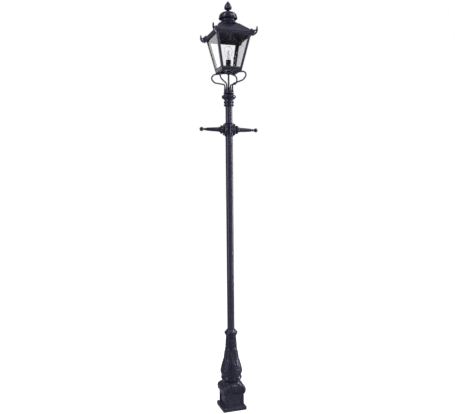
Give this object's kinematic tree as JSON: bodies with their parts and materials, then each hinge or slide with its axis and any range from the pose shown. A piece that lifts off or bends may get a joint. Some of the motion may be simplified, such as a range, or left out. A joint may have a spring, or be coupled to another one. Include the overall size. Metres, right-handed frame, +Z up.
{
  "type": "street lamp post",
  "caption": "Tall street lamp post: four-sided glazed lantern with hipped roof and hood on a wire cradle, ladder bars, slim tube and an ornate bell and plinth base.",
  "frame": {"origin": "middle of the foot's underside", "axes": "+Z up the post; +X along the right-hand ladder bar; -Y is the front with the access door"},
  "size_m": [0.5042, 0.383, 3.366],
  "materials": {
    "black_cast_iron": "gloss black paint on cast iron",
    "black_painted_steel": "gloss black paint on steel",
    "black_painted_aluminium": "gloss black paint on aluminium",
    "pane_glass": "clear",
    "bulb_glass": "clear",
    "brass": "dull",
    "filament": "fine wire",
    "black_plastic": "moulded",
    "board": "varnished",
    "cable_sheath": "matt",
    "zinc_steel": "zinc plated"
  },
  "bodies": {
    "post": {"access_door_pivots": "zinc_steel", "bar_ball_left": "black_cast_iron", "bar_ball_right": "black_cast_iron", "bar_collar_left": "black_cast_iron", "bar_collar_right": "black_cast_iron", "bell_casting": "black_cast_iron", "bell_crown": "black_cast_iron", "bulb_filament": "filament", "bulb_glass": "bulb_glass", "chimney_hood": "black_painted_aluminium", "conduit": "black_painted_steel", "conduit_nuts": "black_painted_steel", "corner_bar_left_back": "black_painted_aluminium", "corner_bar_left_front": "black_painted_aluminium", "corner_bar_right_back": "black_painted_aluminium", "corner_bar_right_front": "black_painted_aluminium", "cradle_boss": "black_cast_iron", "cradle_leg_left_back": "black_painted_steel", "cradle_leg_left_front": "black_painted_steel", "cradle_leg_right_back": "black_painted_steel", "cradle_leg_right_front": "black_painted_steel", "cradle_socket": "black_cast_iron", "dome_tier": "black_painted_aluminium", "eave_frame": "black_painted_aluminium", "finial": "black_cast_iron", "glass_front": "pane_glass", "glass_left": "pane_glass", "glass_right": "pane_glass", "head_casting": "black_cast_iron", "hipped_roof": "black_painted_aluminium", "hood_stud": "zinc_steel", "hub_set_screws": "zinc_steel", "ladder_bar_left": "black_cast_iron", "ladder_bar_right": "black_cast_iron", "ladder_hub": "black_cast_iron", "lamp_cap": "brass", "lampholder": "black_plastic", "lantern_bottom_frame": "black_painted_aluminium", "lantern_door_hinges": "black_painted_aluminium", "lower_tube": "black_painted_steel", "plinth": "black_cast_iron", "plinth_cap": "black_cast_iron", "roof_horn_left_back": "black_painted_aluminium", "roof_horn_left_front": "black_painted_aluminium", "roof_horn_right_back": "black_painted_aluminium", "roof_horn_right_front": "black_painted_aluminium", "roof_lining": "black_painted_aluminium", "supply_cable": "cable_sheath", "terminal_block": "black_plastic", "tube_spigot": "zinc_steel", "upper_tube": "black_painted_steel", "vent_collar": "black_painted_aluminium", "wiring_backboard": "board"},
    "access_door": {"access_door": "black_cast_iron"},
    "access_lock": {"access_lock": "black_painted_steel"},
    "lantern_door": {"lantern_door_frame": "black_painted_aluminium", "lantern_door_glass": "pane_glass"},
    "door_catch": {"lantern_door_catch": "black_painted_aluminium"}
  },
  "joints": [
    {"name": "access_door_hinge", "type": "hinge", "parent": "post", "child": "access_door", "pos_m": [-0.0601, -0.079, 0.069], "axis": [0, 0, -1], "range_deg": [0, 105]},
    {"name": "access_lock_turn", "type": "hinge", "parent": "access_door", "child": "access_lock", "pos_m": [0, -0.078, 0.078], "axis": [0, 1, 0], "range_deg": [0, 90]},
    {"name": "lantern_door_hinge", "type": "hinge", "parent": "post", "child": "lantern_door", "pos_m": [-0.07735, 0.09475, 2.81804], "axis": [-0.2092, 0.2092, 0.9552], "range_deg": [0, 100]},
    {"name": "door_catch_turn", "type": "hinge", "parent": "lantern_door", "child": "door_catch", "pos_m": [0.09207, 0.11707, 2.941], "axis": [0, 0.9769, -0.2139], "range_deg": [-90, 0]}
  ]
}
